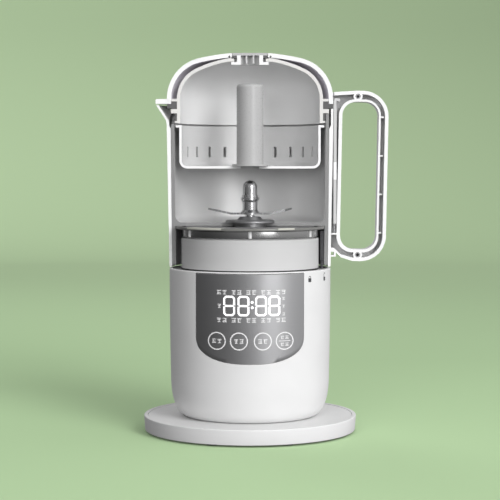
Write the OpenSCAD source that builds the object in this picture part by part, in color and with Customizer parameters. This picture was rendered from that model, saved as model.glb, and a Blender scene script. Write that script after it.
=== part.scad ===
// Baby food maker: a blending and steaming jug on a motor base, on a round stand plate.
// Millimetres, +Z up, origin on the body's axis in the table plane, handle towards +X, panel towards -Y.

/* [Model] */
// Cut the jug, lid, basket and handle open on their middle plane, as on a display model
sectioned = true; // [true, false]

/* [Base] */
// Outer radius of the motor base at its rim
base_r = 69; // [68:0.5:70]
// Height of the motor base's rim above the table
base_top = 140.4; // [138:0.4:150]
// Outer radius of the stand plate
tray_r = 91.2; // [88:0.4:98]
// Number of rubber feet under the stand plate
foot_count = 8; // [6:1:10]
// Half of the control panel's width
panel_half_w = 45; // [42:0.2:47]
// Height of the control panel, down from the base's rim
panel_h = 76; // [70:0.4:78]
// Number of ribs on the lock ring
rib_count = 6; // [3:1:8]

/* [Jug] */
// Depth of the pot, from its rim to its floor
pot_depth = 93.2; // [88:0.4:110]
// Length of the lower blade, tip to tip
blade_span = 74; // [60:2:90]
// Depth of the steam basket, rim to floor
basket_depth = 37; // [32:1:37]
// Height of the basket's steam stem above the basket's floor
stem_h = 72; // [50:1:74]

/* [Handle] */
// How far the handle reaches out from the jug's rim
handle_reach = 46.4; // [44:0.1:56]
// Half of the handle's depth, front to back
handle_half = 17; // [13:0.5:18]
// Width of the grip opening
grip_w = 31.3; // [28:0.1:31.3]

/* [Hidden] */

$fn = 96;
cut_angle = sectioned ? 180 : 360;
reach = 200;
seat = 0.05;            // between pieces fixed to each other
gap = 0.3;              // between pieces that move apart

// Heights, from the table up
foot_h = 1.6;
tray_top = 14.5;
disc_top = 14;
disc_t = 1.6;
base_bottom = 14.1;
deck_flange_z = base_top - 3.2;
deck_top = base_top + 23.6;
deck_floor = deck_top - 8;
drum_top = base_top + 25.8;
ring_bottom = base_top + 27;
ring_top = base_top + 33.2;
pot_floor = base_top + 38.6;
pot_floor_t = 2.8;
pot_rim = pot_floor + pot_depth;
jug_rim = pot_rim + 4;
flange_bottom = jug_rim + 4.3;

// Stand plate
tray_in_r = tray_r - 3.4;
disc_r = tray_r - 3.5;
foot_r = 5.5;
foot_circle = tray_r - 11.2;
post_offset = 31.5;
post_r = 6;
screw_r = 2;
screw_head_r = 3.6;

// Base
base_wall = 2.8;
corner_w = 14;
corner_top = 48;
corner_power = 2.2;
bowl_top = 54;
bottom_hole_r = 51.5;
shelf_in_r = base_r - 4.8;
panel_t = 1.3;
panel_corner_power = 2.4;
panel_flat = 1;
panel_corner_h = 22;
drum_r = base_r - 10.2;
drum_wall = 2.6;
ledge_in_r = drum_r - 5.2;
ring_r = drum_r - 0.4;
ring_in_r = ring_r - 2.6;
lip_r = ring_in_r - gap;

// Motor
can_r = 34;
can_bottom = 40;
can_top = 100;
shaft_r = 4;
bearing_r = 9.5;
run_fit = 0.03;
bracket_r = 50;
fan_z = 24;
fan_h = 9;
fan_r = 28;

// Couplers: three dogs each, half a pitch apart, with free play for the jug's locking turn
dog_count = 3;
dog_angle = 30;
dog_in = 5.5;
dog_out = 13;
hub_top = deck_top - 7;
dog_top = deck_top - 2.8;
disc_bottom = deck_top - 2.3;

// Jug
rim_r = base_r + 2.2;
jug_foot_r = base_r + 0.2;
pot_out_r = rim_r - 3.5;
pot_in_r = rim_r - 6.2;
skirt_out_r = jug_foot_r - 2.4;
skirt_in_r = skirt_out_r - 3.2;
skirt_bottom = base_top + 0.8;
taper_top = jug_rim - 18.2;
heater_bottom = pot_floor - 5.8;
cover_z = deck_top + 1.3;
cover_t = 2;
boss_circle = 48;
hub_r = 13.8;
plug_grooves = [20.4, 24.3, 28.2];
spout_x = -(rim_r - 15.2);
spout_low_r = 15;
spout_mid_r = 15.8;
spout_tip_r = 24.3;
spout_wall = 2.2;
spout_z = [jug_rim - 16.5, jug_rim - 9.9, flange_bottom - 1.1];

// Lid
lid_r = rim_r - 0.2;
lid_t = 3.6;
lid_shoulder = 35.2;
lid_crown = 195;
lid_crown_z = flange_bottom - 151.2;
inner_r = rim_r - 8.8;
inner_t = 2.8;
inner_shoulder = 28.3;
inner_crown = 107.9;
inner_crown_z = flange_bottom - 67.5;
lid_top = lid_crown_z + lid_crown;
vent_r = 15.4;
ledge_z = [lid_top - 7.9, lid_top - 5.3];
cap_r = 15;
lug_r = 15.9;
cap_plate = [lid_top - 2.6, lid_top - 0.5];

// Basket
basket_r = rim_r - 10.7;
basket_wall = 2;
basket_rim = pot_rim - 9.9;
basket_floor = basket_rim - basket_depth;
basket_corner = 7;
stem_r = 11.5;

// Handle
handle_tilt = 1;
grip_left = rim_r + 6.9;
grip_right = grip_left + grip_w;
handle_right = rim_r + handle_reach;
handle_top = flange_bottom + 11.2;
handle_bottom = base_top + 5.5;
handle_mid = (handle_top + handle_bottom) / 2;
grip_top = handle_top - 9.3;
grip_bottom = handle_bottom + 10;
hook_z = base_top + 9.3;
grip_corner = 12;
handle_corner = 22;
handle_wall = 2.9;
edge_round = 7;
boss_r = 3.9;
insert_r = 2.25;
rod_left = rim_r + 0.4;
rod_t = 2.6;
rod_bottom = pot_floor - 1;
spring_turns = 10;

// Mains inlet: outside and inside of its shell, width by height, about inlet_z
inlet_z = 41;
inlet_out = [27.6, 21.6];
inlet_in = [23.6, 17.6];
inlet_corner = 3;
inlet_y = [51, 63.5];
pin_x = 6.5;

// Control board behind the panel, and its touch keys
board_y = -53.5;
board_t = 1.6;
board_w = 76;
board_z = [base_top - 62, base_top - 7];
display_w = 52;
display_z = [base_top - 42, base_top - 15];
key_x = [-27.3, -9.1, 10.5, 28.5];
key_z = base_top - 56.5;
key_spring_r = 2.8;

rotor_r = 21.4;
pot_fillet = 6;

function reversed(list) = [for (i = [len(list) - 1:-1:0]) list[i]];

// Outer edge of the base, from its flat bottom up to the height top, moved inwards by inset
function base_edge(inset, top) = concat(
    [for (a = [90:-6:0]) [
        base_r - 1 - corner_w + (corner_w - inset) * pow(cos(a), 2 / corner_power),
        corner_top - (corner_top - base_bottom - inset) * pow(sin(a), 2 / corner_power)
    ]],
    [[base_r - 0.4 - inset, 78], [base_r - inset, base_top - 2], [base_r - inset, top]]
);

// Right half of the control panel's outline, from its top down to the middle of its lower edge
function panel_edge(grow, top) =
    let (w = panel_half_w + grow, side_z = base_top - panel_h + panel_corner_h) concat(
        [[w, top]],
        [for (a = [0:6:90]) [
            panel_flat + (w - panel_flat) * pow(cos(a), 2 / panel_corner_power),
            side_z - (panel_corner_h + grow) * pow(sin(a), 2 / panel_corner_power)
        ]]
    );

// Radius of the pot's inside at height z
function pot_in(z) = skirt_in_r + (pot_in_r - skirt_in_r) * (z - skirt_bottom) / (pot_rim - skirt_bottom);

module box2(x0, z0, x1, z1) translate([x0, z0]) square([x1 - x0, z1 - z0]);

module round_box2(x0, z0, x1, z1, r) {
    box2(x0 + r, z0, x1 - r, z1);
    box2(x0, z0 + r, x1, z1 - r);
    for (x = [x0 + r, x1 - r], z = [z0 + r, z1 - r]) translate([x, z]) circle(r);
}

// Solid of revolution, whole or cut open
module whole() rotate_extrude() children();
module opened() rotate_extrude(angle = cut_angle) children();
module keep_back() {
    if (sectioned) intersection() {
        children();
        translate([-reach, 0, -1]) cube([2 * reach, reach, 2 * reach]);
    }
    else children();
}

// A drawing in the X-Z plane made solid from y0 to y1
module upright(y0, y1) translate([0, y1, 0]) rotate([90, 0, 0]) linear_extrude(y1 - y0) children();
module post(x, y, z0, z1, r) translate([x, y, z0]) cylinder(h = z1 - z0, r = r);
module at_posts() for (x = [-1, 1], y = [-1, 1]) translate([x * post_offset, y * post_offset, 0]) children();

// Edge of a dome, from the crown at radius x_top down to its wall's foot: a crown arc, a shoulder arc
// tangent to it, and a vertical wall
function dome_edge(wall_r, shoulder, crown, crown_z, bottom, x_top) =
    let (
        sx = wall_r - shoulder,
        sz = crown_z + sqrt(pow(crown - shoulder, 2) - pow(sx, 2)),
        joint = atan2(sz - crown_z, sx),
        start = acos(x_top / crown)
    ) concat(
        [for (i = [0:7]) let (a = start + (joint - start) * i / 8) [
            crown * cos(a), crown_z + crown * sin(a)
        ]],
        [for (i = [0:18]) let (a = joint * (1 - i / 18)) [sx + shoulder * cos(a), sz + shoulder * sin(a)]],
        [[wall_r, bottom]]
    );

module dome_shell2(wall_r, t, shoulder, crown, crown_z, bottom, x_top) polygon(concat(
    dome_edge(wall_r, shoulder, crown, crown_z, bottom, x_top),
    reversed(dome_edge(wall_r - t, shoulder - t, crown - t, crown_z, bottom, x_top))
));

module base_band(i0, i1, top) polygon(concat(base_edge(i0, top), reversed(base_edge(i1, top))));

module panel_prism(grow, top) {
    right = panel_edge(grow, top);
    upright(-reach, -1) polygon(concat(right, reversed([for (p = right) [-p[0], p[1]]])));
}

// ---- Stand plate ----

module tray_shell() color("white")
    whole() polygon([
        [tray_in_r, foot_h], [tray_r - 1.5, foot_h], [tray_r - 0.8, foot_h + 0.6],
        [tray_r - 0.1, tray_top - 1.4], [tray_r, tray_top - 0.9], [tray_r - 0.25, tray_top - 0.3],
        [tray_r - 0.8, tray_top], [disc_r + gap, tray_top], [disc_r + gap, disc_top - disc_t - seat],
        [disc_r - 3.5, disc_top - disc_t - seat], [disc_r - 3.5, disc_top - disc_t - 2],
        [tray_in_r, disc_top - disc_t - 2]
    ]);

module tray_top_disc() color("white") difference() {
    whole() polygon([
        [0, disc_top - disc_t], [disc_r, disc_top - disc_t], [disc_r, disc_top - 0.3],
        [disc_r - 0.3, disc_top], [0, disc_top]
    ]);
    at_posts() post(0, 0, 0, tray_top, screw_r + 0.1);
}

module tray_bottom_cover() color("gainsboro") difference() {
    union() {
        cylinder_slab(tray_in_r - gap, foot_h, foot_h + 2);
        at_posts() post(0, 0, foot_h + 1, disc_top - disc_t - seat, post_r);
    }
    at_posts() post(0, 0, 0, tray_top, screw_r + 0.1);
    at_posts() post(0, 0, 0, foot_h + 2.6, screw_head_r + gap);
}

module cylinder_slab(r, z0, z1) post(0, 0, z0, z1, r);

module tray_feet() color("dimgray")
    for (i = [0:foot_count - 1]) rotate([0, 0, (i + 0.5) * 360 / foot_count])
        translate([foot_circle, 0, 0]) whole() polygon([
            [0, 0], [foot_r - 0.8, 0], [foot_r - 0.2, 0.6], [foot_r, foot_h], [0, foot_h]
        ]);

module base_screws() color("silver") at_posts() {
    post(0, 0, foot_h + 0.5, foot_h + 2.55, screw_head_r);
    post(0, 0, foot_h + 2.5, base_bottom + 6, screw_r);
}

// ---- Motor base ----

// Upper part of the base's shell, with the panel's pocket and a shelf for the deck
module base_housing() color("white") difference() {
    whole() {
        intersection() {
            base_band(0, base_wall, base_top);
            box2(0, bowl_top + seat, reach, base_top + 1);
        }
        box2(shelf_in_r, deck_flange_z - 2.4, base_r - base_wall + 0.3, deck_flange_z - 0.1);
    }
    intersection() {
        panel_prism(0.1, base_top + 5);
        whole() base_band(-3, panel_t + 0.1, base_top + 5);
    }
}

// Lower part of the base's shell, which curves in to the bottom cover, with the inlet's opening
module base_bowl() color("white") difference() {
    whole() {
        intersection() {
            base_band(0, base_wall, base_top);
            box2(0, 0, reach, bowl_top);
        }
        box2(bottom_hole_r, base_bottom, base_r - corner_w, base_bottom + base_wall);
    }
    upright(inlet_y[0] - 10, reach) box2(
        -inlet_out[0] / 2 - 0.2, inlet_z - inlet_out[1] / 2 - 0.2,
        inlet_out[0] / 2 + 0.2, inlet_z + inlet_out[1] / 2 + 0.2
    );
}

module base_bottom_cover() color("gainsboro") difference() {
    union() {
        cylinder_slab(bottom_hole_r - gap, base_bottom, base_bottom + 2.5);
        at_posts() post(0, 0, base_bottom + 1, base_bottom + 9.8, post_r);
    }
    at_posts() post(0, 0, 0, base_bottom + 7, screw_r + 0.1);
    for (i = [0:11]) rotate([0, 0, 30 * i]) translate([12, -1.5, 0]) cube([12, 3, 40]);
}

module base_deck() color("lightgray") difference() {
    whole() {
        box2(drum_r - drum_wall, deck_flange_z, base_r - base_wall - 0.1, deck_flange_z + 2.2);
        box2(drum_r - drum_wall, deck_flange_z, drum_r, drum_top - 0.5);
        polygon([
            [lip_r + seat, drum_top - 2.2], [drum_r, drum_top - 2.2], [drum_r, drum_top - 0.6],
            [drum_r - 0.6, drum_top], [lip_r + seat, drum_top]
        ]);
        box2(ledge_in_r, deck_floor - 2.2, drum_r - drum_wall + 0.1, deck_floor - seat);
    }
    post(drum_r + 2.8, 0, deck_flange_z - 1, deck_top, 1.6);
}

// Dish that closes the deck's drum, with a lip inside the lock ring
module deck_dish() color("lightgray") whole() {
    box2(lip_r - 2.5, deck_floor, lip_r, ring_top - 1.7);
    box2(17, deck_floor, lip_r, deck_floor + 2.4);
}

module control_panel() color([0.55, 0.55, 0.56])
    intersection() {
        panel_prism(-0.2, base_top - 0.4);
        whole() base_band(0, panel_t, base_top);
    }

module display_module() color([0.12, 0.12, 0.13])
    upright(board_y - 5.5, board_y - seat) box2(-display_w / 2, display_z[0], display_w / 2, display_z[1]);

module control_board() color("darkgreen")
    upright(board_y, board_y + board_t) box2(-board_w / 2, board_z[0], board_w / 2, board_z[1]);

module touch_springs() color("goldenrod")
    for (x = key_x) let (face_y = -sqrt(pow(base_r - 1 - base_wall - 0.7, 2) - pow(abs(x) + 3, 2)))
        translate([x, board_y - seat, key_z]) rotate([90, 0, 0]) difference() {
            cylinder(h = board_y - face_y, r = key_spring_r);
            translate([0, 0, -1]) cylinder(h = reach, r = key_spring_r - 0.9);
        }

module motor_can() color("silver") difference() {
    whole() {
        box2(can_r - 2, can_bottom, can_r, can_top);
        box2(bearing_r + seat, can_bottom, can_r, can_bottom + 2);
        box2(bearing_r + seat, can_top - 2, can_r, can_top);
    }
    for (i = [0:5]) rotate([0, 0, 60 * i]) {
        translate([14, -4, can_bottom - 5]) cube([14, 8, 10]);
        translate([14, -4, can_top - 5]) cube([14, 8, 10]);
    }
}

module stator() color("peru") whole() box2(rotor_r + 0.6, can_bottom + 10, can_r - 2 - seat, can_top - 10);

module motor_bearings() color("lightsteelblue")
    for (z = [can_bottom - 1.5, can_top - 3.5])
        whole() box2(shaft_r + run_fit, z, bearing_r, z + 5);

module motor_bracket() color("slategray") difference() {
    cylinder_slab(bracket_r, can_bottom - 3, can_bottom - seat);
    post(0, 0, 0, can_top, 12);
    for (i = [0:3]) rotate([0, 0, 90 * i]) translate([17, -7, 0]) cube([12, 14, can_top]);
}

module motor_dampers() color("black")
    at_posts() post(0, 0, base_bottom + 9.8 + seat, can_bottom - 3 - seat, 5);

module power_board() color("seagreen") {
    upright(46, 47.6) box2(-30, 62, 30, 120);
    upright(47.5, 60) box2(-20, 68, 2, 90);
    upright(47.5, 57) box2(-22, 96, -4, 112);
    for (x = [10, 22]) translate([x, 47.5, 76]) rotate([-90, 0, 0]) cylinder(h = 11, r = 5);
}

module inlet_outline(size) round_box2(
    -size[0] / 2, inlet_z - size[1] / 2, size[0] / 2, inlet_z + size[1] / 2, inlet_corner
);

module power_inlet() color("black") difference() {
    upright(inlet_y[0], inlet_y[1]) inlet_outline(inlet_out);
    upright(inlet_y[0] + 1.5, reach) inlet_outline(inlet_in);
}

module inlet_pins() color("silver") upright(inlet_y[0] + 1.5 + seat, inlet_y[1] - 2.5) {
    for (x = [-pin_x, pin_x]) box2(x - 1, inlet_z - 3, x + 1, inlet_z + 1);
    box2(-1, inlet_z + 2.5, 1, inlet_z + 6.5);
}

module jug_socket() color([0.2, 0.2, 0.22]) whole() difference() {
    box2(17.6, deck_floor + 2.4 + seat, 31, deck_top - 1.4);
    for (r = plug_grooves) box2(r - 0.9, deck_floor + 3.6, r + 0.9, deck_top);
}

module interlock_switch() color([0.15, 0.15, 0.16]) {
    upright(-5, 5) box2(drum_r - 6, deck_flange_z - 16, drum_r + 3.4, deck_flange_z - 4);
    post(drum_r + 2.8, 0, deck_flange_z - 4.5, skirt_bottom + 4.6, 1.2);
}

// ---- Rotor ----

module motor_shaft() color("silver") cylinder_slab(shaft_r, fan_z, hub_top - 0.6);

module rotor_core() color("dimgray")
    whole() box2(shaft_r + 0.02, can_bottom + 10, rotor_r, can_top - 10);

module cooling_fan() color("ivory") {
    difference() {
        cylinder_slab(9, fan_z, fan_z + fan_h);
        cylinder_slab(shaft_r + 0.02, fan_z - 1, fan_z + fan_h + 1);
    }
    for (i = [0:8]) rotate([0, 0, 40 * i]) translate([8.5, -0.8, fan_z + 0.5])
        rotate([25, 0, 0]) cube([fan_r - 8.5, 1.6, fan_h - 2]);
}

// Dogs of a coupler: sectors of a ring, between two heights
module dogs(z0, z1, first) for (i = [0:dog_count - 1])
    rotate([0, 0, first + i * 360 / dog_count - dog_angle / 2])
        rotate_extrude(angle = dog_angle) box2(dog_in, z0, dog_out, z1);

module drive_coupler() color("dimgray") {
    whole() polygon([
        [shaft_r + 0.02, hub_top - 6], [dog_out + 1, hub_top - 6], [dog_out + 1, hub_top], [0, hub_top],
        [0, hub_top - 0.5], [shaft_r + 0.02, hub_top - 0.5]
    ]);
    dogs(hub_top - 0.1, dog_top, 0);
}

// ---- Lock ring: turns with the jug ----

module lock_ring() color("gray") {
    whole() box2(ring_in_r, ring_bottom, ring_r, ring_top);
    for (i = [0:rib_count - 1]) rotate([0, 0, -90 + i * 360 / rib_count])
        post(ring_r - 0.4, 0, ring_bottom + 0.1, ring_top - 0.1, 1.5);
}

// ---- Jug ----

module spout(inset, drop) translate([spout_x, 0, 0]) whole() polygon([
    [0, spout_z[0] + drop], [spout_low_r - inset, spout_z[0] + drop], [spout_mid_r - inset, spout_z[1]],
    [spout_tip_r - inset + 0.01 * drop, spout_z[2] + 0.01 * drop], [0, spout_z[2] + 0.01 * drop]
]);

module jug_shell() color("white") keep_back() {
    difference() {
        whole() polygon([
            [jug_foot_r - 0.3, skirt_bottom], [jug_foot_r, skirt_bottom + 0.4], [rim_r, taper_top],
            [rim_r, jug_rim - 0.6], [rim_r - 0.5, jug_rim], [rim_r - 1.9, jug_rim],
            [rim_r - 1.9, jug_rim - 14], [pot_out_r + 0.15, jug_rim - 17], [skirt_out_r + 0.15, skirt_bottom]
        ]);
        spout(spout_wall, 3);
    }
    difference() {
        spout(0, 0);
        spout(spout_wall, 3);
        cylinder_slab(rim_r - 1.85, 0, 2 * reach);
        cylinder_slab(rim_r + 0.6, jug_rim, 2 * reach);
    }
}

module inner_pot() color([0.75, 0.75, 0.77]) keep_back() {
    inside_r = pot_in(pot_floor + pot_fillet);
    difference() {
        whole() polygon(concat(
            [[skirt_in_r, skirt_bottom + 1.5], [skirt_out_r, skirt_bottom + 1.5]],
            [[pot_out_r, pot_rim - 0.4], [pot_out_r - 0.4, pot_rim], [pot_in_r + 0.4, pot_rim]],
            [[pot_in_r, pot_rim - 0.4]],
            [for (a = [0:10:90]) [
                inside_r - pot_fillet + pot_fillet * cos(a), pot_floor + pot_fillet - pot_fillet * sin(a)
            ]],
            [[hub_r + 0.1, pot_floor], [hub_r + 0.1, pot_floor - pot_floor_t]],
            [[pot_in(pot_floor - pot_floor_t), pot_floor - pot_floor_t]]
        ));
        spout(spout_wall, 3);
    }
    for (a = [45:90:315]) rotate([0, 0, a - 5]) rotate_extrude(angle = 10) polygon([
        [pot_in_r + 0.4, basket_rim - 5.6], [pot_in_r - 3, basket_rim - 3.2],
        [pot_in_r - 3, basket_rim - 2.3], [pot_in_r + 0.4, basket_rim - 2.3]
    ]);
}

// Ring under the pot that carries the jug's weight, with four tabs standing on the lock ring
tabs = [[199.5, 46], [294.5, 16], [20, 46], [115, 16]];
module pot_base_ring() color([0.7, 0.7, 0.66]) {
    whole() box2(ring_r + 0.2, ring_top + gap, skirt_in_r - 0.2, pot_floor - pot_floor_t - 0.1);
    for (t = tabs) rotate([0, 0, t[0]]) rotate_extrude(angle = t[1])
        box2(ring_in_r - 0.2, ring_top + gap, ring_r + 0.4, pot_floor - pot_floor_t - 0.1);
}

module heater_plate() color("slategray") difference() {
    whole() box2(24, heater_bottom, ring_in_r - 0.6, pot_floor - pot_floor_t - 0.2);
    for (i = [0:2]) rotate([0, 0, 120 * i + 30]) post(boss_circle, 0, 0, reach, 1.7);
}

module heating_element() color("darkgray") rotate([0, 0, 120]) rotate_extrude(angle = 300)
    translate([38, heater_bottom - 2.8]) circle(2.7);

module thermostats() color("black")
    for (a = [90, 270]) rotate([0, 0, a]) post(29.6, 0, heater_bottom - 5, heater_bottom - 0.1, 5);

module jug_bottom_cover() color([0.3, 0.3, 0.32]) difference() {
    union() {
        whole() box2(15, cover_z, lip_r - 3.2, cover_z + cover_t);
        for (i = [0:2]) rotate([0, 0, 120 * i + 30]) post(boss_circle, 0, cover_z, heater_bottom - 0.1, 3.5);
    }
    for (i = [0:2]) rotate([0, 0, 120 * i + 30]) post(boss_circle, 0, 0, reach, 1.7);
}

module jug_plug() color("goldenrod") whole() {
    box2(18.2, deck_top - 1, 30.4, cover_z - 0.1);
    for (r = plug_grooves) box2(r - 0.5, deck_top - 3.6, r + 0.5, deck_top - 0.9);
}

module jug_screws() color("silver") for (i = [0:2]) rotate([0, 0, 120 * i + 30]) {
    post(boss_circle, 0, cover_z - 1.8, cover_z - 0.1, 3);
    post(boss_circle, 0, cover_z - 0.2, heater_bottom + 2.4, 1.6);
}

module bearing_housing() color("silver") whole() difference() {
    union() {
        box2(0, deck_top, hub_r, pot_floor + 1);
        polygon([
            [0, pot_floor + seat], [21, pot_floor + seat], [21, pot_floor + 1.4],
            [19.6, pot_floor + 2.4], [11, pot_floor + 2.4], [9, pot_floor + 5], [0, pot_floor + 5]
        ]);
    }
    box2(-1, deck_top - 1, 9.05, pot_floor - 1.5);
    box2(-1, pot_floor - 2, 6.6, pot_floor + 6);
}

module blade_bearings() color("lightsteelblue") for (z = [deck_top + 0.2, pot_floor - 6.6])
    whole() box2(shaft_r + run_fit, z, 9, z + 5);

module shaft_seal() color("black")
    whole() box2(shaft_r + seat, pot_floor - 1.2, 6.5, pot_floor + 3.8);

// ---- Blades ----

module blade_shaft() color("silver") cylinder_slab(shaft_r, disc_bottom + 0.1, pot_floor + 34);

// A blade: a hub and two swept wings whose outer halves rise by lift degrees
module blade(z, span, width, lift) {
    difference() {
        union() {
            cylinder_slab(8, z, z + 1.6);
            for (side = [0, 180]) rotate([0, 0, side]) {
                translate([0, 0, z]) linear_extrude(1.6)
                    polygon([[0, -width / 2], [17, -width / 2], [17, width / 2 - 2], [0, width / 2]]);
                translate([16.5, 0, z]) rotate([0, -lift, 0]) linear_extrude(1.6) polygon([
                    [0, 0.4 - width / 2], [(span / 2 - 17) * 0.7, 1.5 - width / 2],
                    [span / 2 - 17, width / 2 - 4.5], [(span / 2 - 17) * 0.6, width / 2 - 2.8],
                    [0, width / 2 - 2.4]
                ]);
            }
        }
        cylinder_slab(shaft_r + 0.02, z - 5, z + 10);
    }
}

module lower_blade() color("silver") blade(pot_floor + 7, blade_span, 14, 12);
module upper_blade() color("silver") rotate([0, 0, 90]) blade(pot_floor + 20, blade_span - 16, 13, -10);

module blade_spacer() color("silver") whole() polygon([
    [shaft_r + 0.02, pot_floor + 8.7], [8, pot_floor + 8.7], [6.4, pot_floor + 11],
    [6.4, pot_floor + 17.6], [8, pot_floor + 19.9], [shaft_r + 0.02, pot_floor + 19.9]
]);

module blade_nut() color("silver") whole() difference() {
    union() {
        box2(0, pot_floor + 21.7, 7, pot_floor + 23.4);
        box2(0, pot_floor + 22, 6.2, pot_floor + 30);
        intersection() {
            translate([0, pot_floor + 30]) circle(6.2);
            box2(0, pot_floor + 29, 10, pot_floor + 40);
        }
    }
    box2(-1, 0, shaft_r + 0.02, pot_floor + 34.05);
}

module driven_coupler() color("dimgray") {
    whole() box2(shaft_r + 0.02, disc_bottom, dog_out + 1, disc_bottom + 1.6);
    dogs(hub_top + 0.6, disc_bottom + 0.1, 180 / dog_count);
}

// ---- Lid ----

module lid_outer() color("white") keep_back() {
    whole() dome_shell2(lid_r, lid_t, lid_shoulder, lid_crown, lid_crown_z, flange_bottom, vent_r);
    difference() {
        translate([spout_x, 0, 0]) whole() polygon([
            [0, flange_bottom], [spout_tip_r + 0.1, flange_bottom], [spout_tip_r + 0.5, flange_bottom + 0.4],
            [spout_tip_r + 0.5, flange_bottom + 3.4], [spout_tip_r - 0.1, flange_bottom + 4.1],
            [0, flange_bottom + 4.1]
        ]);
        cylinder_slab(lid_r - lid_t / 2, 0, 2 * reach);
    }
}

module lid_inner() color([0.9, 0.89, 0.87]) keep_back() difference() {
    whole() {
        dome_shell2(inner_r, inner_t, inner_shoulder, inner_crown, inner_crown_z, flange_bottom - 16.5, 16);
        box2(inner_r - 1, flange_bottom + 2.1, lid_r - lid_t - 0.2, flange_bottom + 4.2);
        box2(inner_r - 1, pot_rim + gap, pot_out_r - 0.1, jug_rim - 0.2);
        box2(inner_r - 1, flange_bottom - 16.2, inner_r + 1.9, flange_bottom - 14.6);
        box2(13.5, ledge_z[0], 19, ledge_z[1]);
    }
    for (a = [60, 240]) rotate([0, 0, a]) translate([10, -4.5, ledge_z[0] - 5]) cube([6.6, 9, 12]);
}

module lid_gasket() color([0.35, 0.35, 0.36]) opened() polygon([
    [inner_r + seat, pot_rim - 6.2], [pot_in_r - 0.7, pot_rim - 6.2], [pot_in_r - 0.4, pot_rim - 5],
    [pot_in_r - 1, pot_rim - 4], [pot_in_r - 0.4, pot_rim - 2.6], [pot_in_r - 0.9, pot_rim + 0.2],
    [inner_r + seat, pot_rim + 0.2]
]);

module rim_seal() color([0.42, 0.42, 0.42]) opened() {
    box2(inner_r + seat, jug_rim - 0.15, lid_r - lid_t - 0.6, flange_bottom + 2);
    box2(lid_r - lid_t - 0.7, jug_rim + 0.35, lid_r - 0.1, flange_bottom - 0.1);
}

module vent_cap() color("white") keep_back() difference() {
    union() {
        whole() {
            polygon([
                [0, cap_plate[0]], [cap_r, cap_plate[0]], [cap_r, cap_plate[1] - 0.5],
                [cap_r - 0.6, cap_plate[1]], [0, cap_plate[1]]
            ]);
            box2(7.9, ledge_z[0] - 2.6, 11.2, cap_plate[0] + 0.1);
            box2(7.9, ledge_z[0] - 2.6, 13, ledge_z[0] - gap);
        }
        for (a = [0, 180]) rotate([0, 0, a - 16]) rotate_extrude(angle = 32)
            box2(12.5, ledge_z[0] - 2.6, lug_r, ledge_z[0] - gap);
        for (x = [-3, 3], y = [-8.2, 0.6]) translate([x - 0.7, y, ledge_z[0] - 1.6])
            cube([1.4, 7.6, cap_plate[0] - ledge_z[0] + 1.7]);
    }
    for (i = [0:5]) rotate([0, 0, 60 * i + 30]) post(6, 0, cap_plate[0] - 1, cap_plate[1] + 1, 1.2);
}

module cap_seal() color([0.4, 0.4, 0.4]) opened() box2(11.3, ledge_z[1] + gap, 14.8, cap_plate[0] - seat);

// ---- Steam basket ----

module basket_outline(inset) intersection() {
    round_box2(
        -basket_r + inset, basket_floor + inset, basket_r - inset, basket_rim + 40, basket_corner - inset
    );
    box2(0, 0, basket_r, basket_rim);
}

module steam_basket() color("whitesmoke") keep_back() difference() {
    whole() difference() {
        union() {
            basket_outline(0);
            polygon([
                [basket_r - 1, basket_rim - 2], [basket_r + 2.6, basket_rim - 2],
                [basket_r + 3, basket_rim - 1.6], [basket_r + 3, basket_rim - 0.4],
                [basket_r + 2.6, basket_rim], [basket_r - 1, basket_rim]
            ]);
        }
        intersection() {
            basket_outline(basket_wall);
            box2(0, 0, reach, basket_rim + 1);
        }
        box2(basket_r - 8, basket_rim - 1, basket_r - basket_wall, basket_rim + 1);
    }
    for (ring = [1:4]) let (count = 6 * (ring + 1))
        for (i = [0:count - 1]) rotate([0, 0, (i + 0.5) * 360 / count])
            post(9 + 9 * ring, 0, basket_floor - 5, basket_floor + 5, 1.9);
    for (i = [0:23]) rotate([0, 0, 15 * i + 7.5])
        translate([basket_r - 5, -1.4, basket_floor + 10]) cube([10, 2.8, 9]);
    cylinder_slab(8, 0, basket_floor + 5);
}

module basket_stem() color([0.8, 0.8, 0.8]) difference() {
    whole() difference() {
        union() {
            box2(0, basket_floor + basket_wall + seat, stem_r, basket_floor + stem_h - 3);
            box2(0, basket_floor + stem_h - 4, stem_r - 3, basket_floor + stem_h);
            translate([stem_r - 3, basket_floor + stem_h - 3]) circle(3);
            box2(0, basket_floor + basket_wall + seat, stem_r + 4, basket_floor + basket_wall + 1.6);
        }
        box2(-20, 0, stem_r - 1.8, basket_floor + stem_h - 2);
        box2(-20, 0, 0, reach * 2);
    }
    for (i = [0:5]) rotate([0, 0, 60 * i]) translate([4, -1, 0]) cube([4, 2, 2 * reach]);
}

// ---- Handle and its interlock ----

module handle_outline(inset) difference() {
    intersection() {
        round_box2(0, handle_bottom + inset, handle_right - inset, handle_top - inset, handle_corner - inset);
        box2(rim_r - 14, 0, handle_right, 2 * reach);
    }
    polygon([
        [0, 0], [0, grip_bottom - 1 + inset * 0.7], [rim_r + 1.8, grip_bottom - 1 + inset * 0.7],
        [rim_r + 8, grip_bottom - 7 + inset * 0.9], [rim_r + 18, handle_bottom + inset], [rim_r + 18, 0]
    ]);
    polygon([
        [0, 2 * reach], [rim_r + 18, handle_top - inset + 1], [rim_r + 18, handle_top - inset],
        [0, handle_top - 7.5 - inset]
    ]);
}

module grip_outline(left, right, end) round_box2(
    grip_left - left, grip_bottom - end, grip_right + right, grip_top + end * 0.7, grip_corner + right
);

// The handle leans outwards a little towards its top
module leaned() translate([rim_r + 21, 0, handle_mid]) rotate([0, handle_tilt, 0])
    translate([-rim_r - 21, 0, -handle_mid]) children();

boss_places = [[rim_r + 20, handle_top - 4.8], [rim_r + 22.4, handle_bottom + 5.4]];

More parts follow.
